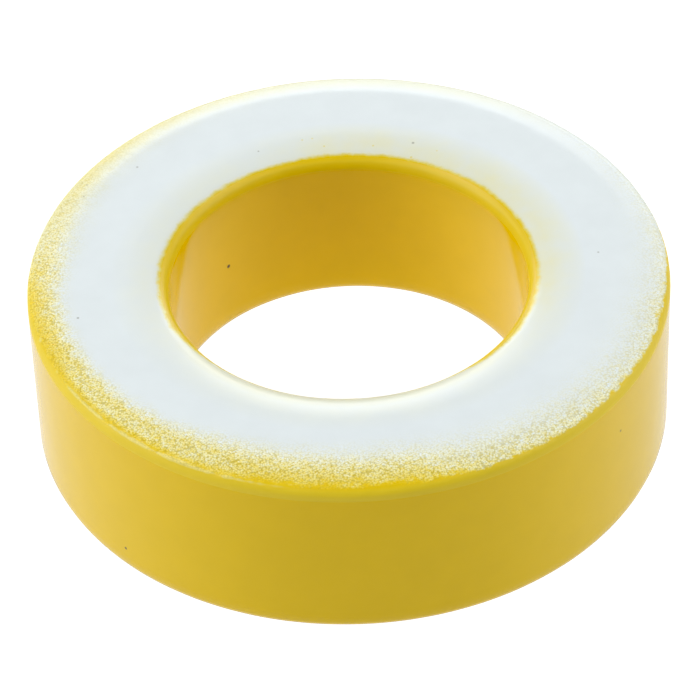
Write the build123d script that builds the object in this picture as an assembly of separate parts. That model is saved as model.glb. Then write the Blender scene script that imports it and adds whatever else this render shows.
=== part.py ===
from build123d import *
import os

# A toroid core: one ring pressed from iron powder and coated all over.
# The ring lies flat. Its axis is Z, and the origin is the centre of its underside. Millimetres.

# Sizes of the finished ring, measured over the coating
OUTER_DIAMETER = 38.4
BORE_DIAMETER = 21.5
HEIGHT = 11.1

# Pressed bevels between the flat faces and the walls, the same above and below.
# A width runs along the radius, from the wall to where the flat face ends.
# A drop is how far the bevel has fallen where it would meet the wall, before its corner is rounded.
OUTER_BEVEL_WIDTH = 1.8
OUTER_BEVEL_DROP = 0.22
BORE_BEVEL_WIDTH = 1.95
BORE_BEVEL_DROP = 0.38

# Corner radii, where the coating wraps from a bevel round into a wall
OUTER_CORNER_RADIUS = 0.56
BORE_CORNER_RADIUS = 0.6


def corners_at_radius(section, radius):
    """The corners of a section on the XZ plane that lie on a wall of this radius."""
    return section.vertices().filter_by(lambda corner: abs(corner.X - radius) < 0.001)


def ring_section():
    """The section of the ring on the XZ plane, to the right of the axis."""
    outer_radius = OUTER_DIAMETER / 2
    bore_radius = BORE_DIAMETER / 2
    outer_flat_end = outer_radius - OUTER_BEVEL_WIDTH
    bore_flat_end = bore_radius + BORE_BEVEL_WIDTH
    outline = Polyline(
        (bore_radius, 0, BORE_BEVEL_DROP),
        (bore_flat_end, 0, 0),
        (outer_flat_end, 0, 0),
        (outer_radius, 0, OUTER_BEVEL_DROP),
        (outer_radius, 0, HEIGHT - OUTER_BEVEL_DROP),
        (outer_flat_end, 0, HEIGHT),
        (bore_flat_end, 0, HEIGHT),
        (bore_radius, 0, HEIGHT - BORE_BEVEL_DROP),
        close=True,
    )
    section = make_face(outline)
    section = fillet(corners_at_radius(section, outer_radius), OUTER_CORNER_RADIUS)
    return fillet(corners_at_radius(section, bore_radius), BORE_CORNER_RADIUS)


def toroid_core():
    """The whole ring: its section turned about the axis."""
    return revolve(ring_section(), axis=Axis.Z, revolution_arc=360)


os.makedirs("parts", exist_ok=True)
export_step(toroid_core(), "parts/toroid_core.step")
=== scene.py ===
import math
from types import SimpleNamespace

import bpy
import numpy as np
from mathutils import Matrix, Vector, noise


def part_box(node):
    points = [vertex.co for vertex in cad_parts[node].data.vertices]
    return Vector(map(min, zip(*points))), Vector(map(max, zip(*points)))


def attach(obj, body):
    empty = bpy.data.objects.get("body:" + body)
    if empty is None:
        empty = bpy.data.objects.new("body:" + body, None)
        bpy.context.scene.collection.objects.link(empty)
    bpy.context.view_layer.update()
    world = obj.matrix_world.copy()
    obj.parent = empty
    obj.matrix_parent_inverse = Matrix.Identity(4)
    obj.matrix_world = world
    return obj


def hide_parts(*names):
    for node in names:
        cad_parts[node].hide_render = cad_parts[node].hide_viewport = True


# A coated toroid core on a pale floor: yellow epoxy all over, white paint sprayed on the upper face.
# Sizes in the property groups are metres, as everywhere in Blender, and the finish is in millimetres.
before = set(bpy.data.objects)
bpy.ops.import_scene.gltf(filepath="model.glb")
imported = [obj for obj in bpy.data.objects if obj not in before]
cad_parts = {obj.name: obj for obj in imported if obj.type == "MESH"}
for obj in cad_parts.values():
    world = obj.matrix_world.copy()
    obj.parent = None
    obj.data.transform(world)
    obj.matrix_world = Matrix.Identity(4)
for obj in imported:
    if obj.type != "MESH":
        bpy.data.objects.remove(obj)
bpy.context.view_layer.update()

bl_info = {
    "name": "Coated toroid core",
    "version": (1, 0, 0),
    "blender": (4, 5, 0),
    "location": "View3D > Sidebar > Toroid core",
    "description": "A powdered-iron ring with its epoxy coat, white overspray, floor, lights and camera",
    "category": "Object",
}

MM = 0.001
BOX_DISTANCE = 0.5
FLOOR_HALF_WIDTH = 2.0
SENSOR_WIDTH = 36
RING_LOW, RING_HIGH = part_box("toroid_core")


class RingShape(bpy.types.PropertyGroup):
    """The ring's section and the relief of its coat."""

    outer_radius: bpy.props.FloatProperty(
        name="Outer radius",
        description="Radius of the outer wall, from the frame",
        default=(RING_HIGH.x - RING_LOW.x) / 2,
        unit="LENGTH",
    )
    bore_radius: bpy.props.FloatProperty(
        name="Bore radius",
        description="Radius of the bore wall",
        default=10.75 * MM,
        unit="LENGTH",
    )
    height: bpy.props.FloatProperty(
        name="Height",
        description="From the underside to the white face, from the frame",
        default=RING_HIGH.z - RING_LOW.z,
        unit="LENGTH",
    )
    outer_bevel: bpy.props.FloatVectorProperty(
        name="Outer bevel",
        description="Width and drop of the bevel at the outer wall",
        size=2,
        default=(1.8 * MM, 0.22 * MM),
        unit="LENGTH",
    )
    bore_bevel: bpy.props.FloatVectorProperty(
        name="Bore bevel",
        description="Width and drop of the bevel at the bore wall",
        size=2,
        default=(1.95 * MM, 0.38 * MM),
        unit="LENGTH",
    )
    outer_corner: bpy.props.FloatProperty(
        name="Outer corner",
        description="Radius where the coat wraps from the bevel into the outer wall",
        default=0.56 * MM,
        unit="LENGTH",
    )
    bore_corner: bpy.props.FloatProperty(
        name="Bore corner",
        description="Radius where the coat wraps from the bevel into the bore wall",
        default=0.6 * MM,
        unit="LENGTH",
    )
    bevel_blend: bpy.props.FloatProperty(
        name="Bevel blend",
        description="Radius of the soft bend between a flat face and its bevel",
        default=5.0 * MM,
        unit="LENGTH",
    )
    bead_height: bpy.props.FloatProperty(
        name="Rim bead",
        description="Height of the ridge where the coat and the spray gathered on the upper outer rim",
        default=0.07 * MM,
        unit="LENGTH",
    )
    bead_inset: bpy.props.FloatProperty(
        name="Rim bead inset",
        description="How far in from the outer wall the ridge lies",
        default=0.31 * MM,
        unit="LENGTH",
    )
    coat_waviness: bpy.props.FloatProperty(
        name="Coat waviness",
        description="Depth of the slow waves in the baked coat",
        default=0.01 * MM,
        unit="LENGTH",
    )
    grit_height: bpy.props.FloatProperty(
        name="Spray grit",
        description="Height of the clumps of dry spray towards the outer rim",
        default=0.035 * MM,
        unit="LENGTH",
    )
    steps_around: bpy.props.IntProperty(
        name="Steps around",
        description="Mesh columns around the axis",
        default=990,
        min=96,
    )
    steps_along: bpy.props.IntProperty(
        name="Steps along",
        description="Mesh rows along the section's outline",
        default=100,
        min=40,
    )


class CoatLook(bpy.types.PropertyGroup):
    """Colours of the coat and the paint, and how the paint was sprayed."""

    epoxy: bpy.props.StringProperty(
        name="Epoxy yellow",
        description="sRGB hex colour of the baked coat",
        default="#E9C40B",
    )
    paint: bpy.props.StringProperty(
        name="Paint white",
        description="sRGB hex colour of the sprayed paint",
        default="#E9F2F4",
    )
    dirt: bpy.props.StringProperty(
        name="Dirt",
        description="sRGB hex colour of the stray specks",
        default="#5C5230",
    )
    solid_inset: bpy.props.FloatProperty(
        name="Solid white inset",
        description="How far in from the outer wall the white is solid, on average",
        default=4.22 * MM,
        unit="LENGTH",
    )
    spray_shift: bpy.props.FloatProperty(
        name="Spray shift",
        description="How far off centre the solid white is",
        default=0.92 * MM,
        unit="LENGTH",
    )
    spray_angle: bpy.props.FloatProperty(
        name="Spray angle",
        description="Direction about the axis in which the white is shifted",
        default=math.radians(87),
        subtype="ANGLE",
    )
    spray_pinch: bpy.props.FloatProperty(
        name="Spray pinch",
        description="How much narrower than a circle the solid white is along one line",
        default=0.39 * MM,
        unit="LENGTH",
    )
    pinch_angle: bpy.props.FloatProperty(
        name="Pinch angle",
        description="Direction about the axis in which the white is narrowest",
        default=math.radians(134),
        subtype="ANGLE",
    )
    fade_width: bpy.props.FloatProperty(
        name="Fade width",
        description="Distance over which the white falls to half, on average",
        default=4.63 * MM,
        unit="LENGTH",
    )
    fade_shift: bpy.props.FloatProperty(
        name="Fade change",
        description="How much more slowly the white thins out on one side than on average",
        default=1.75 * MM,
        unit="LENGTH",
    )
    fade_angle: bpy.props.FloatProperty(
        name="Fade angle",
        description="Direction about the axis in which the white thins out most slowly",
        default=math.radians(40),
        subtype="ANGLE",
    )
    bore_edge: bpy.props.FloatProperty(
        name="Paint edge at the bore",
        description="Radius at which the white ends above the bore wall",
        default=11.31 * MM,
        unit="LENGTH",
    )
    grain: bpy.props.FloatProperty(
        name="Spray grain",
        description="Size of one dry grain of spray",
        default=0.12 * MM,
        unit="LENGTH",
    )


class StageSetup(bpy.types.PropertyGroup):
    """The camera, the floor, the lights and the room."""

    elevation: bpy.props.FloatProperty(
        name="Camera elevation",
        description="Angle of the camera above the floor",
        default=math.radians(41.28),
        subtype="ANGLE",
    )
    distance: bpy.props.FloatProperty(
        name="Camera distance",
        description="From the middle of the ring to the camera",
        default=247.4 * MM,
        unit="LENGTH",
    )
    lens: bpy.props.FloatProperty(
        name="Lens",
        description="Focal length in millimetres on a 36 mm sensor",
        default=210.3,
    )
    roll: bpy.props.FloatProperty(
        name="Camera roll",
        description="Tilt of the camera about its own line of sight",
        default=math.radians(-2.11),
        subtype="ANGLE",
    )
    aim_offset: bpy.props.FloatVectorProperty(
        name="Aim offset",
        description="How far right of and above the ring's middle the camera looks",
        size=2,
        default=(-0.06 * MM, -0.627 * MM),
        unit="LENGTH",
    )
    floor: bpy.props.StringProperty(
        name="Floor",
        description="sRGB hex colour of the frosted floor sheet",
        default="#7C7C7A",
    )
    floor_glow: bpy.props.FloatProperty(
        name="Floor glow",
        description="How brightly the sheet glows onto the ring, lit from below",
        default=0.71,
    )
    left_light: bpy.props.FloatProperty(
        name="Left light",
        description="Radiance of the soft box on the left",
        default=3.15,
    )
    right_light: bpy.props.FloatProperty(
        name="Right light",
        description="Radiance of the soft box on the right",
        default=2.4,
    )
    back_light: bpy.props.FloatProperty(
        name="Back light",
        description="Radiance of the low, wide soft box behind the ring",
        default=2.5,
    )
    room_light: bpy.props.FloatProperty(
        name="Room light",
        description="Even light from the rest of the room",
        default=0.06,
    )
    backdrop_glow: bpy.props.FloatProperty(
        name="Backdrop glow",
        description="How bright the floor and the room look to the camera",
        default=1.0,
    )
    black_level: bpy.props.FloatProperty(
        name="Black level",
        description="Light that the picture shows as black, which deepens the dark yellows",
        default=0.025,
    )


# Colour and node helpers


def encoded(hex_colour):
    """An sRGB hex colour as it stands, not made linear, for mixing evenly to the eye."""
    return tuple(int(hex_colour[i:i + 2], 16) / 255 for i in (1, 3, 5)) + (1.0,)


def linear(hex_colour):
    """An sRGB hex colour as a linear RGBA tuple."""
    parts = encoded(hex_colour)[:3]
    return tuple(p / 12.92 if p <= 0.04045 else ((p + 0.055) / 1.055) ** 2.4 for p in parts) + (1.0,)


def add(tree, kind, inputs=None, out=0, **settings):
    """Add a node and return one of its outputs, or the node if it has none.

    Settings are the node's own properties; inputs are values or sockets, by name or number.
    """
    made = tree.nodes.new("ShaderNode" + kind)
    for name, value in settings.items():
        setattr(made, name, value)
    for key, value in (inputs or {}).items():
        if isinstance(value, bpy.types.NodeSocket):
            tree.links.new(value, made.inputs[key])
        else:
            made.inputs[key].default_value = value
    return made.outputs[out] if len(made.outputs) else made


def new_material(name):
    """An empty node material and its tree."""
    material = bpy.data.materials.new(name)
    material.use_nodes = True
    material.node_tree.nodes.clear()
    return material, material.node_tree


# How the white was sprayed: off centre, so that it reaches further out on one side, and the
# higher the power, the more suddenly it gives out
FADE_POWER = 4


def white_limit(angle, shape, look):
    """Radius out to which the white is solid at this angle."""
    reach = shape.outer_radius - look.solid_inset + look.spray_shift * math.cos(angle - look.spray_angle)
    return reach - look.spray_pinch * math.cos(2 * (angle - look.pinch_angle))


def fade_reach(angle, look):
    """Distance past that radius over which the white falls to half."""
    return look.fade_width + look.fade_shift * math.cos(angle - look.fade_angle)


# The ring's shape


def rounded_outline(corners, step):
    """A closed outline through corners of (x, z, radius), each corner an arc, as points close together."""
    points = []
    count = len(corners)
    for i, (x, z, radius) in enumerate(corners):
        corner = Vector((x, z))
        before = (Vector(corners[i - 1][:2]) - corner).normalized()
        after = (Vector(corners[(i + 1) % count][:2]) - corner).normalized()
        half_angle = before.angle(after) / 2
        reach = radius / math.tan(half_angle)
        centre = corner + (before + after).normalized() * radius / math.sin(half_angle)
        start = corner + before * reach - centre
        end = corner + after * reach - centre
        turn = start.angle_signed(end)
        steps = max(2, round(abs(turn) * radius / step))
        for k in range(steps + 1):
            points.append(centre + Matrix.Rotation(-turn * k / steps, 2) @ start)
    return points


def section_corners(shape):
    """The corners of the ring's section, going round from the foot of the bore wall, with their radii."""
    outer, bore, top = shape.outer_radius, shape.bore_radius, shape.height
    outer_width, outer_drop = shape.outer_bevel
    bore_width, bore_drop = shape.bore_bevel
    blend = shape.bevel_blend
    lower = [
        (bore, bore_drop, shape.bore_corner),
        (bore + bore_width, 0, blend),
        (outer - outer_width, 0, blend),
        (outer, outer_drop, shape.outer_corner),
    ]
    upper = [(x, top - z, radius) for x, z, radius in reversed(lower)]
    return lower + upper


def spread_rows(outline, shape):
    """Pick the mesh rows from the outline, with the way the surface faces at each.

    They lie closest where the relief is finest: on the bead, then the sprayed band, then the corners.
    """
    # How far apart the rows are at each of these, and how far round it that holds
    widest, on_bead, on_spray, on_corner = 0.8 * MM, 0.05 * MM, 0.12 * MM, 0.15 * MM
    bead_reach, spray_reach, corner_reach = 0.35 * MM, 1.6 * MM, 0.7 * MM
    spray_inset = 2.1 * MM
    points = np.array(outline)
    points = np.vstack([points, points[:1]])
    steps = np.diff(points, axis=0)
    lengths = np.linalg.norm(steps, axis=1)
    outer, bore, top = shape.outer_radius, shape.bore_radius, shape.height

    def near(x, z, reach):
        """1 at this place on the section, falling away past the reach."""
        return np.exp(-np.sum((points[:-1] - (x, z)) ** 2, axis=1) / reach ** 2)

    per_metre = 1 / widest
    per_metre += near(outer - shape.bead_inset, top, bead_reach) / on_bead
    per_metre += near(outer - spray_inset, top, spray_reach) / on_spray
    for x, z in ((outer, top), (outer, 0), (bore, top), (bore, 0)):
        per_metre += near(x, z, corner_reach) / on_corner
    counted = np.concatenate([[0], np.cumsum(lengths * per_metre)])
    wanted = np.arange(shape.steps_along) * counted[-1] / shape.steps_along
    rows = np.stack([np.interp(wanted, counted, points[:, k]) for k in (0, 1)], axis=1)
    along = np.stack([np.interp(wanted, counted[:-1], steps[:, k] / lengths) for k in (0, 1)], axis=1)
    outward = np.stack([along[:, 1], -along[:, 0]], axis=1)
    return rows, outward / np.linalg.norm(outward, axis=1)[:, None]


def bump(angle, middle, reach):
    """1 at the middle angle, falling away past the reach on both sides, in degrees."""
    off = (math.degrees(angle) - middle + 180) % 360 - 180
    return math.exp(-(off / reach) ** 4)


def bead_share(p, angle, shape):
    """How far the bead on the rim stands up at a point in millimetres, from 0 to about 1.

    It is nearly whole at the front left and in broken lumps at the front right.
    """
    lowest, half_width = 0.4, 0.1
    if shape.height / MM - p.z > lowest:
        return 0.0
    crest = (shape.outer_radius - shape.bead_inset) / MM
    across = math.exp(-((math.hypot(p.x, p.y) - crest) / half_width) ** 2)
    whole = bump(angle, 232, 24) * max(0.0, 0.75 + 0.9 * noise.noise(p * 1.1) + 0.5 * noise.noise(p * 3.3))
    lumps = max(bump(angle, 205, 14), bump(angle, 318, 28)) * max(0.0, 2.2 * noise.noise(p * 1.4) - 0.1)
    return across * max(whole, lumps)


def relief(p, angle, shape, look):
    """How far the coat and the dry spray stand off the plain section, at a point in millimetres."""
    spray_ends, grit_ends = 1.0, 0.8
    radius = math.hypot(p.x, p.y)
    drop = shape.height / MM - p.z

    # Slow waves, which only go inwards, so that the coat stays inside the box of the solid
    height = shape.coat_waviness * (0.6 * noise.noise(p * 0.35) + 0.4 * noise.noise(p * 0.9) - 1)
    if drop > spray_ends:
        return height

    # Clumps of dry spray where the white thins out
    thin = max(0.0, radius - white_limit(angle, shape, look) / MM) / (fade_reach(angle, look) / MM)
    cover = 1 / (1 + thin ** FADE_POWER)
    loose = 2 * cover * (1 - cover) * max(0.0, 1 - drop / grit_ends)
    height += shape.grit_height * loose * (noise.noise(p * 2.4) + 0.7 * noise.noise(p * 5.0))
    return height


def ring_mesh(shape, look):
    """The ring as a grid of quads around the axis, with the relief of its coat."""
    outline_step = 0.01 * MM
    outline = rounded_outline(section_corners(shape), outline_step)
    rows, outward = spread_rows(outline, shape)
    columns = shape.steps_around
    vertices = []
    beads = []
    for i in range(columns):
        angle = 2 * math.pi * i / columns
        cos, sin = math.cos(angle), math.sin(angle)
        for (radius, z), (out_radius, out_z) in zip(rows, outward):
            point = Vector((radius * cos, radius * sin, z)) / MM
            beads.append(bead_share(point, angle, shape))
            height = relief(point, angle, shape, look) + shape.bead_height * beads[-1]
            reach = min(radius + out_radius * height, shape.outer_radius)
            vertices.append((reach * cos, reach * sin, min(z + out_z * height, shape.height)))
    count = len(rows)
    faces = []
    for i in range(columns):
        here = i * count
        there = (i + 1) % columns * count
        for j in range(count):
            k = (j + 1) % count
            faces.append((here + j, there + j, there + k, here + k))
    mesh = bpy.data.meshes.new("coated_ring")
    mesh.from_pydata(vertices, [], faces)
    mesh.polygons.foreach_set("use_smooth", [True] * len(mesh.polygons))
    mesh.attributes.new("bead", "FLOAT", "POINT").data.foreach_set("value", beads)
    return mesh


# The ring's finish


def towards(tree, radial, angle):
    """1 on the side of the ring that faces this angle, falling to -1 on the far side."""
    direction = (math.cos(angle), math.sin(angle), 0)
    return add(tree, "VectorMath", {0: radial, 1: direction}, out="Value", operation="DOT_PRODUCT")


def on_side(tree, radial, side):
    """The value that one of the sides below has at a place."""
    angle, starts, full, away, on_it = side
    facing = towards(tree, radial, math.radians(angle))
    return add(tree, "MapRange", {0: facing, 1: starts, 2: full, 3: away, 4: on_it})


def spots(tree, point, places):
    """Small round spots, each up to its own strength."""
    found = 0.0
    for angle, radius, height, size, strength in places:
        turn = math.radians(angle)
        centre = (radius * math.cos(turn), radius * math.sin(turn), height)
        off = add(tree, "VectorMath", {0: point, 1: centre}, out="Value", operation="DISTANCE")
        near = add(tree, "MapRange", {0: off, 1: size, 2: size * 0.5, 4: strength})
        found = add(tree, "Math", {0: near, 1: found}, operation="MAXIMUM")
    return found


# Where the spray differs round the ring. Each side has its direction in degrees from the ring's right,
# the cosines off it where the change starts and is full, and the values away from it and on it.
CROWDED_LEFT = (207, 0.82, 0.95, 0.0, 1.0)
LONG_FADE_RIGHT = (313, 0.84, 0.96, 0.0, 1.3)
MIST_LEFT = (226, 0.82, 0.95, 0.0, 0.52)
MIST_BACK = (152, 0.8, 0.95, 0.0, 0.66)
WORN_BACK = (100, 0.5, 0.9, 0.0, 0.1)
EVEN_BACK = (105, 0.35, 0.75, 2.0, 0.6)
WRAP_BACK = (95, -0.2, 0.4, 0.1, 0.6)
BARE_FRONT = (266, 0.91, 0.98, 0.0, 0.08)
THIN_RIGHT = (40, 0.2, 0.75, 0.1, 0.28)
# The white is a little thinner on the front lip of the bore, and the yellow this lets through is partly a
# painted reflection of the bore wall
THIN_AND_REFLECTING_FRONT = (265, 0.4, 0.7, 0.0, 1.0)
WIDER_FRONT = (262, 0.5, 0.8, 0.0, 0.4)

# Single marks as on the photographed ring: angle in degrees, radius, height and size in mm, strength
SPECKS = [
    (133.4, 10.75, 5.1, 0.16, 1.0),
    (323.8, 19.2, 7.7, 0.11, 0.7),
    (224.8, 19.2, 1.8, 0.12, 1.0),
    (70.2, 12.7, 11.0, 0.12, 0.5),
    (114.3, 12.8, 11.0, 0.1, 0.5),
    (192.3, 16.4, 11.1, 0.1, 0.5),
    (140.5, 16.5, 11.1, 0.1, 0.35),
    (153.7, 17.8, 11.0, 0.1, 0.35),
    (150.2, 18.2, 11.0, 0.1, 0.35),
    (3.0, 15.0, 11.1, 0.09, 0.35),
    (18.0, 12.9, 11.0, 0.09, 0.35),
]
PINHOLES = [
    (95.7, 12.1, 11.0, 0.1, 0.3),
    (81.3, 12.06, 11.0, 0.1, 0.3),
    (98.6, 12.85, 11.1, 0.09, 0.25),
    (101.4, 12.85, 11.1, 0.09, 0.25),
    (69.0, 11.54, 10.87, 0.1, 0.3),
    (62.7, 12.51, 11.06, 0.09, 0.25),
]


def ring_places(tree):
    """Where a place is on the ring, in millimetres: its point, direction from the axis, radius and height."""
    place = add(tree, "TexCoord", out="Object")
    point = add(tree, "VectorMath", {0: place, "Scale": 1 / MM}, operation="SCALE")
    flat = add(tree, "VectorMath", {0: point, 1: (1, 1, 0)}, operation="MULTIPLY")
    return SimpleNamespace(
        point=point,
        radial=add(tree, "VectorMath", {0: flat}, operation="NORMALIZE"),
        radius=add(tree, "VectorMath", {0: flat}, out="Value", operation="LENGTH"),
        height=add(tree, "SeparateXYZ", {0: point}, out="Z"),
    )


def spray_over_rim(tree, at, shape, look):
    """Share of the coat that the white covers, solid at first and thinning out towards the outer wall."""
    # Where it stops being solid: a circle off centre, pinched along one line, with tongues
    solid_radius = (shape.outer_radius - look.solid_inset + look.spray_pinch) / MM
    mean_tongue, crowded_out, crowded_fade = 0.5, 1.05, 1.1
    tongues_per_mm = 0.9
    solid = add(tree, "Math", {
        0: towards(tree, at.radial, look.spray_angle),
        1: look.spray_shift / MM,
        2: solid_radius - mean_tongue,
    }, operation="MULTIPLY_ADD")
    pinched = towards(tree, at.radial, look.pinch_angle)
    pinched = add(tree, "Math", {0: pinched, 1: pinched}, operation="MULTIPLY")
    solid = add(tree, "Math", {0: pinched, 1: -2 * look.spray_pinch / MM, 2: solid}, operation="MULTIPLY_ADD")
    crowded = on_side(tree, at.radial, CROWDED_LEFT)
    solid = add(tree, "Math", {0: crowded, 1: crowded_out, 2: solid}, operation="MULTIPLY_ADD")
    tongues = add(tree, "TexNoise", {
        "Vector": at.point,
        "Scale": tongues_per_mm,
        "Detail": 3.0,
        "Roughness": 0.6,
    })
    solid = add(tree, "Math", {0: tongues, 1: solid}, operation="ADD")

    # How slowly it thins out from there
    fade = add(tree, "Math", {
        0: towards(tree, at.radial, look.fade_angle),
        1: look.fade_shift / MM,
        2: look.fade_width / MM,
    }, operation="MULTIPLY_ADD")
    fade = add(tree, "Math", {0: crowded, 1: -crowded_fade, 2: fade}, operation="MULTIPLY_ADD")
    fade = add(tree, "Math", {0: fade, 1: on_side(tree, at.radial, LONG_FADE_RIGHT)}, operation="ADD")
    past = add(tree, "Math", {0: at.radius, 1: solid}, operation="SUBTRACT")
    past = add(tree, "Math", {0: past, 1: 0.0}, operation="MAXIMUM")
    past = add(tree, "Math", {0: past, 1: fade}, operation="DIVIDE")
    past = add(tree, "Math", {0: past, 1: FADE_POWER}, operation="POWER")
    past = add(tree, "Math", {0: past, 1: 1.0}, operation="ADD")
    cover = add(tree, "Math", {0: 1.0, 1: past}, operation="DIVIDE")

    # Mist that drifted on at the left, short of the rim, and at the back
    mist_ends, mist_full = 18.9, 18.3
    mist = add(tree, "MapRange", {0: at.radius, 1: mist_ends, 2: mist_full})
    mist = add(tree, "Math", {0: on_side(tree, at.radial, MIST_LEFT), 1: mist}, operation="MULTIPLY")
    cover = add(tree, "Math", {0: cover, 1: mist}, operation="MAXIMUM")
    return add(tree, "Math", {0: cover, 1: on_side(tree, at.radial, MIST_BACK)}, operation="MAXIMUM")


def wear_on_rim(tree, at):
    """How much of the white is rubbed off the rim at the back."""
    wear_starts, wear_full = 17.5, 18.4
    worn = add(tree, "MapRange", {0: at.radius, 1: wear_starts, 2: wear_full})
    return add(tree, "Math", {0: worn, 1: on_side(tree, at.radial, WORN_BACK)}, operation="MULTIPLY")


def edge_on_corner(tree, at, top, ragged):
    """1 above the ragged edge on the outer corner, lower at the back, where the spray came from."""
    edge_width, raggedness = 0.12, 0.4
    outside, inside = 16.0, 15.0
    above = add(tree, "Math", {0: at.height, 1: top}, operation="SUBTRACT")
    above = add(tree, "Math", {0: above, 1: on_side(tree, at.radial, WRAP_BACK)}, operation="ADD")
    above = add(tree, "Math", {0: above, 1: on_side(tree, at.radial, BARE_FRONT)}, operation="SUBTRACT")
    above = add(tree, "Math", {0: ragged, 1: raggedness, 2: above}, operation="MULTIPLY_ADD")
    painted = add(tree, "MapRange", {0: above, 1: 0.0, 2: edge_width}, interpolation_type="SMOOTHSTEP")
    inner = add(tree, "MapRange", {0: at.radius, 1: outside, 2: inside})
    return add(tree, "Math", {0: painted, 1: inner}, operation="MAXIMUM")


def film_at_bore(tree, at, look, ragged, clouds):
    """Share of the white that is left towards the bore, where it thins and then ends in a clean line; on the
    front lip the thinning also paints in the yellow bore wall that the lip reflects.
    """
    thin_starts, thin_full = 14.2, 12.2
    lip_starts, lip_full, lip_thinning_and_reflection = 12.1, 11.5, 0.08
    half_width, raggedness = 0.25, 0.4
    thin = add(tree, "MapRange", {0: at.radius, 1: thin_starts, 2: thin_full})
    thin = add(tree, "Math", {0: thin, 1: on_side(tree, at.radial, THIN_RIGHT)}, operation="MULTIPLY")
    thin = add(tree, "Math", {0: thin, 1: clouds}, operation="MULTIPLY")
    # On the front lip the yellow that shows through is partly a painted reflection of the bore wall across
    # the hole
    lip = add(tree, "MapRange", {0: at.radius, 1: lip_starts, 2: lip_full, 4: lip_thinning_and_reflection})
    front = on_side(tree, at.radial, THIN_AND_REFLECTING_FRONT)
    thin = add(tree, "Math", {0: lip, 1: front, 2: thin}, operation="MULTIPLY_ADD")
    beyond = add(tree, "Math", {0: at.radius, 1: on_side(tree, at.radial, WIDER_FRONT)}, operation="ADD")
    beyond = add(tree, "Math", {0: ragged, 1: raggedness, 2: beyond}, operation="MULTIPLY_ADD")
    mean_edge = look.bore_edge / MM + raggedness / 2
    beyond = add(tree, "Math", {0: beyond, 1: mean_edge}, operation="SUBTRACT")
    film = add(tree, "MapRange", {0: beyond, 1: -half_width, 2: half_width}, interpolation_type="SMOOTHSTEP")
    return add(tree, "Math", {0: film, 1: thin}, operation="SUBTRACT")


def dry_grains(tree, at, look):
    """Whether a dry grain landed, by chance and in clumps, with a painted highlight on each grain and painted
    shade in the gaps between grains.

    The finest droplets are smaller than a pixel, so a grain is as large as the stipple looks.
    """
    grains_per_mm, clumps_per_mm = MM / look.grain, 2.6
    by_chance, by_clump, by_place, typical_sum = 0.35, 0.9, 0.6, 1.16
    grain_edge, gap_middle, painted_grain_light, painted_gap_shade = 0.35, 0.75, 0.42, -0.34
    cells = {"Vector": at.point, "Scale": grains_per_mm}
    landed = add(tree, "SeparateColor", {0: add(tree, "TexVoronoi", cells, out="Color", feature="F1")})
    clumps = add(tree, "TexNoise", {"Vector": at.point, "Scale": clumps_per_mm, "Detail": 2.0})
    mist = add(tree, "TexNoise", {"Vector": at.point, "Scale": grains_per_mm, "Detail": 1.0})
    landed = add(tree, "Math", {0: landed, 1: by_chance, 2: mist}, operation="MULTIPLY_ADD")
    landed = add(tree, "Math", {0: clumps, 1: by_clump, 2: landed}, operation="MULTIPLY_ADD")
    landed = add(tree, "Math", {0: landed, 1: typical_sum}, operation="SUBTRACT")
    # Painted light on the middle of each grain and painted shade in the gaps; the same pattern also sways
    # where grains land
    middle = add(tree, "TexVoronoi", cells, out="Distance", feature="F1")
    stipple = add(tree, "MapRange", {0: middle, 1: grain_edge, 2: gap_middle, 3: painted_grain_light, 4: painted_gap_shade})
    landed = add(tree, "Math", {0: stipple, 1: by_place, 2: landed}, operation="MULTIPLY_ADD")
    return landed, stipple


def stray_mist(tree, at, top):
    """Where fine mist lies on the two upper corners, its pale film also standing in as a painted reflection,
    and how rough it leaves the coat there.
    """
    bore_side, outer_side, bore_lower = 14.0, 16.0, 0.17
    film_starts, film_full, dull_starts, dull_full = 0.1, 0.32, 0.05, 0.25
    mist_thins, mist_ends = 0.8, 0.95
    film_and_reflection_cover, dull_roughness = 0.19, 0.5
    lower = add(tree, "MapRange", {0: at.radius, 1: outer_side, 2: bore_side, 4: bore_lower})
    level = add(tree, "Math", {0: at.height, 1: lower}, operation="ADD")
    below = add(tree, "MapRange", {0: level, 1: top - mist_ends, 2: top - mist_thins})
    film = add(tree, "MapRange", {0: level, 1: top - film_starts, 2: top - film_full})
    film = add(tree, "Math", {0: film, 1: below}, operation="MINIMUM")
    film = add(tree, "Math", {0: film, 1: film_and_reflection_cover}, operation="MULTIPLY")
    dull = add(tree, "MapRange", {0: level, 1: top - dull_starts, 2: top - dull_full})
    dull = add(tree, "Math", {0: dull, 1: below}, operation="MINIMUM")
    dull = add(tree, "Math", {0: dull, 1: dull_roughness}, operation="MULTIPLY")
    return film, dull


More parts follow.
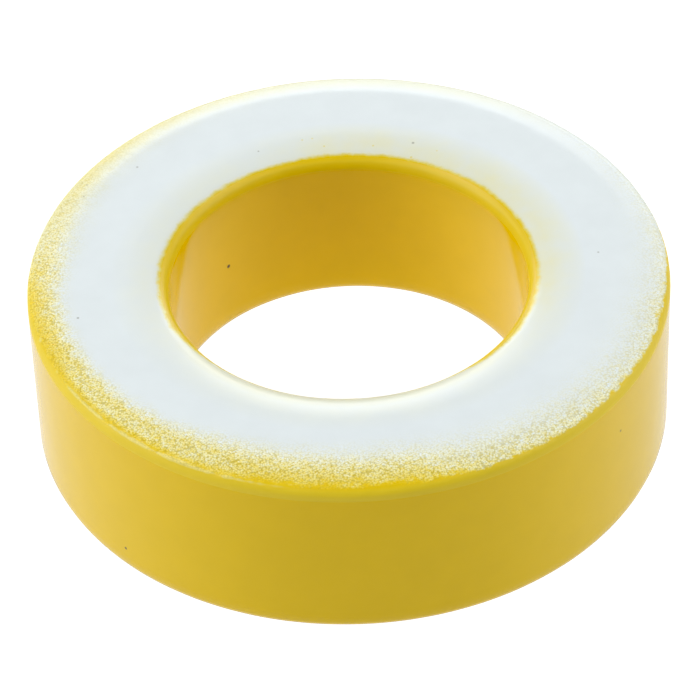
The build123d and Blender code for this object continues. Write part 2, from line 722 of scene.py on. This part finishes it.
def epoxy_and_spray(shape, look):
    """Gloss epoxy powder coat, baked on, with dry white aerosol paint over its upper face.

    To the eye: a deep glassy yellow on the walls, a flat chalky white above, and between them
    a band where the paint arrived as a thin mist of dry grains and the yellow shows through.
    """
    material, tree = new_material("baked_epoxy_white_spray")
    top = shape.height / MM
    paint_stops, paint_full, bead_paint_and_highlight = 1.4, 1.2, 0.42
    rags_per_mm, clouds_per_mm, peel_per_mm = 1.6, 0.5, 1.2
    at = ring_places(tree)
    ragged = add(tree, "TexNoise", {
        "Vector": at.point,
        "Scale": rags_per_mm,
        "Detail": 4.0,
        "Roughness": 0.65,
    })
    clouds = add(tree, "TexNoise", {"Vector": at.point, "Scale": clouds_per_mm, "Detail": 3.0})

    # The white: solid in the middle, thin at the rim, worn at the back, and only on the upper face
    over_rim = spray_over_rim(tree, at, shape, look)
    on_corner = edge_on_corner(tree, at, top, ragged)
    at_bore = film_at_bore(tree, at, look, ragged, clouds)
    upper = add(tree, "MapRange", {0: at.height, 1: top - paint_stops, 2: top - paint_full})
    cover = add(tree, "Math", {0: over_rim, 1: on_corner}, operation="MULTIPLY")
    cover = add(tree, "Math", {0: cover, 1: wear_on_rim(tree, at)}, operation="SUBTRACT")
    cover = add(tree, "Math", {0: cover, 1: at_bore}, operation="MULTIPLY")
    cover = add(tree, "Math", {0: cover, 1: upper}, operation="MULTIPLY")
    cover = add(tree, "Math", {0: cover, 1: spots(tree, at.point, PINHOLES)}, operation="SUBTRACT")

    # Half covered, it breaks up into grains, less so at the back
    landed, stipple = dry_grains(tree, at, look)
    bare = add(tree, "Math", {0: 1.0, 1: over_rim}, operation="SUBTRACT")
    loose = add(tree, "Math", {0: bare, 1: cover}, operation="MULTIPLY")
    loose = add(tree, "Math", {0: loose, 1: on_side(tree, at.radial, EVEN_BACK)}, operation="MULTIPLY")
    cover = add(tree, "Math", {0: landed, 1: loose, 2: cover}, operation="MULTIPLY_ADD", use_clamp=True)

    # The bead caught paint, and this extra white also paints in a highlight along the rim; a film of mist too
    # fine to see as grains lies on the corners
    bead = add(tree, "Attribute", out="Fac", attribute_name="bead")
    bead = add(tree, "MapRange", {0: bead, 1: 0.05, 2: 0.5, 4: bead_paint_and_highlight})
    cover = add(tree, "Math", {0: cover, 1: bead}, operation="MAXIMUM")
    # The mist's pale film on the corners is also a painted reflection, like the pale reflection on the walls
    # below
    film, dull = stray_mist(tree, at, top)
    cover = add(tree, "Math", {0: cover, 1: film}, operation="MAXIMUM")

    # The film tints evenly to the eye, so it is mixed as it is seen and made linear after
    mottle = add(tree, "MapRange", {0: clouds, 1: 0.3, 2: 0.7, 3: 0.985, 4: 1.015})
    # The colour is scaled by the grains' painted light and shade, and by a slight random mottle
    shade = add(tree, "Math", {0: stipple, 1: loose, 2: mottle}, operation="MULTIPLY_ADD")
    epoxy, paint = encoded(look.epoxy), encoded(look.paint)
    tint = add(tree, "Mix", {0: cover, 6: epoxy, 7: paint}, out=2, data_type="RGBA")
    tint = add(tree, "Gamma", {0: tint, 1: 2.2})
    tint = add(tree, "VectorMath", {0: tint, "Scale": shade}, operation="SCALE")
    specks = spots(tree, at.point, SPECKS)
    colour = add(tree, "Mix", {0: specks, 6: tint, 7: linear(look.dirt)}, out=2, data_type="RGBA")

    # The coat is glossy and the paint satin, and the stray mist dulls the corners
    coat_roughness, paint_roughness = 0.12, 0.22
    roughness = add(tree, "MapRange", {0: cover, 3: coat_roughness, 4: paint_roughness})
    roughness = add(tree, "Math", {0: roughness, 1: dull}, operation="MAXIMUM")

    # Relief: orange peel in the coat, and grains where they lie loose
    peel_depth, crumb_depth = 0.006 * MM, 0.06 * MM
    peel = add(tree, "TexNoise", {"Vector": at.point, "Scale": peel_per_mm, "Detail": 1.0})
    peel = add(tree, "Bump", {"Height": peel, "Strength": 0.5, "Distance": peel_depth})
    crumbs = add(tree, "Math", {0: landed, 1: loose}, operation="MULTIPLY")
    crumbs = add(tree, "Bump", {"Height": crumbs, "Strength": 1.0, "Distance": crumb_depth, "Normal": peel})
    surface = add(tree, "BsdfPrincipled", {
        "Base Color": colour,
        "Roughness": roughness,
        "IOR": 1.5,
        "Specular IOR Level": 0.5,
        "Normal": crumbs,
    })
    add(tree, "OutputMaterial", {"Surface": surface})
    return material


# The stage


def floor_sheet(stage):
    """Matt white acrylic sheet, lit from below as well as above: no grain, and a shadow too pale to see."""
    material, tree = new_material("opal_acrylic_floor")
    seen = add(tree, "LightPath", out="Is Camera Ray")
    surface = add(tree, "BsdfPrincipled", {
        "Base Color": linear(stage.floor),
        "Roughness": 0.6,
        "IOR": 1.49,
        "Emission Color": (1.0, 1.0, 1.0, 1.0),
        "Emission Strength": add(tree, "MapRange", {0: seen, 3: stage.floor_glow, 4: stage.backdrop_glow}),
    })
    add(tree, "OutputMaterial", {"Surface": surface})
    half = FLOOR_HALF_WIDTH
    corners = [(-half, -half, 0), (half, -half, 0), (half, half, 0), (-half, half, 0)]
    mesh = bpy.data.meshes.new("floor_sheet")
    mesh.from_pydata(corners, [], [(0, 1, 2, 3)])
    mesh.materials.append(material)
    sheet = bpy.data.objects.new("floor_sheet", mesh)
    bpy.context.scene.collection.objects.link(sheet)


def soft_box(name, azimuth, elevation, width, height, radiance):
    """A rectangular soft box half a metre from the ring and facing it.

    The azimuth is in degrees about the axis from the ring's right, anticlockwise from above.
    """
    turn, rise = math.radians(azimuth), math.radians(elevation)
    towards_box = Vector((math.cos(turn) * math.cos(rise), math.sin(turn) * math.cos(rise), math.sin(rise)))
    data = bpy.data.lights.new(name, "AREA")
    data.shape = "RECTANGLE"
    data.size = width
    data.size_y = height
    data.energy = radiance * math.pi * width * height
    lamp = bpy.data.objects.new(name, data)
    lamp.location = towards_box * BOX_DISTANCE
    lamp.rotation_euler = (-towards_box).to_track_quat("-Z", "Y").to_euler()
    bpy.context.scene.collection.objects.link(lamp)


def room(stage):
    """A white room: bright to the camera and in reflections, with little light of its own."""
    world = bpy.data.worlds.new("room")
    world.use_nodes = True
    tree = world.node_tree
    tree.nodes.clear()
    spread = add(tree, "LightPath", out="Is Diffuse Ray")
    glow = add(tree, "Background", {
        "Color": (1.0, 1.0, 1.0, 1.0),
        "Strength": add(tree, "MapRange", {0: spread, 3: stage.backdrop_glow, 4: stage.room_light}),
    })
    add(tree, "OutputWorld", {"Surface": glow})
    bpy.context.scene.world = world


def camera(stage, shape):
    """The camera of the photograph: high in front of the ring, with a long lens."""
    data = bpy.data.cameras.new("camera")
    data.sensor_width = SENSOR_WIDTH
    data.lens = stage.lens
    data.clip_start = 0.01
    body = bpy.data.objects.new("camera", data)
    middle = Vector((0, 0, shape.height / 2))
    back = Vector((0, -math.cos(stage.elevation), math.sin(stage.elevation)))
    right = Vector((1, 0, 0))
    up = back.cross(right)
    place = middle + back * stage.distance
    aim = middle + right * stage.aim_offset[0] + up * stage.aim_offset[1]
    turn = (aim - place).to_track_quat("-Z", "Y").to_matrix().to_4x4()
    body.matrix_world = Matrix.Translation(place) @ turn @ Matrix.Rotation(stage.roll, 4, "Z")
    bpy.context.scene.collection.objects.link(body)
    bpy.context.scene.camera = body


# Operators, panel and registration


class OBJECT_OT_coated_ring(bpy.types.Operator):
    """Build the coated ring in place of the plain one"""

    bl_idname = "object.coated_ring"
    bl_label = "Add coated ring"

    def execute(self, context):
        scene = context.scene
        mesh = ring_mesh(scene.ring_shape, scene.coat_look)
        mesh.materials.append(epoxy_and_spray(scene.ring_shape, scene.coat_look))
        ring = bpy.data.objects.new("coated_ring", mesh)
        scene.collection.objects.link(ring)
        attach(ring, "root")
        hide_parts("toroid_core")
        return {"FINISHED"}


class OBJECT_OT_toroid_stage(bpy.types.Operator):
    """Set up the pale floor, the soft lights and the camera"""

    bl_idname = "object.toroid_stage"
    bl_label = "Add stage"

    def execute(self, context):
        stage = context.scene.stage_setup
        floor_sheet(stage)
        room(stage)
        soft_box("left_box", azimuth=185, elevation=42, width=0.4, height=0.55, radiance=stage.left_light)
        soft_box("right_box", azimuth=0, elevation=40, width=0.4, height=0.5, radiance=stage.right_light)
        soft_box("back_box", azimuth=90, elevation=23, width=0.72, height=0.14, radiance=stage.back_light)
        camera(stage, context.scene.ring_shape)
        view = context.scene.view_settings
        view.view_transform = "Standard"
        view.use_curve_mapping = True
        view.curve_mapping.black_level = (stage.black_level,) * 3
        view.curve_mapping.update()
        return {"FINISHED"}


class VIEW3D_PT_toroid_core(bpy.types.Panel):
    """Every size and colour, and a button for the ring and for the stage"""

    bl_label = "Toroid core"
    bl_space_type = "VIEW_3D"
    bl_region_type = "UI"
    bl_category = "Toroid core"

    def draw(self, context):
        scene = context.scene
        groups = {"Ring": scene.ring_shape, "Coat": scene.coat_look, "Stage": scene.stage_setup}
        for title, group in groups.items():
            box = self.layout.box()
            box.label(text=title)
            for name in group.__annotations__:
                box.prop(group, name)
        self.layout.operator("object.coated_ring")
        self.layout.operator("object.toroid_stage")


CLASSES = (
    RingShape,
    CoatLook,
    StageSetup,
    OBJECT_OT_coated_ring,
    OBJECT_OT_toroid_stage,
    VIEW3D_PT_toroid_core,
)


def register():
    for cls in CLASSES:
        bpy.utils.register_class(cls)
    bpy.types.Scene.ring_shape = bpy.props.PointerProperty(type=RingShape)
    bpy.types.Scene.coat_look = bpy.props.PointerProperty(type=CoatLook)
    bpy.types.Scene.stage_setup = bpy.props.PointerProperty(type=StageSetup)


def unregister():
    del bpy.types.Scene.stage_setup
    del bpy.types.Scene.coat_look
    del bpy.types.Scene.ring_shape
    for cls in reversed(CLASSES):
        bpy.utils.unregister_class(cls)


def main():
    """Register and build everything."""
    register()
    bpy.ops.object.coated_ring()
    bpy.ops.object.toroid_stage()


if __name__ == "__main__":
    main()
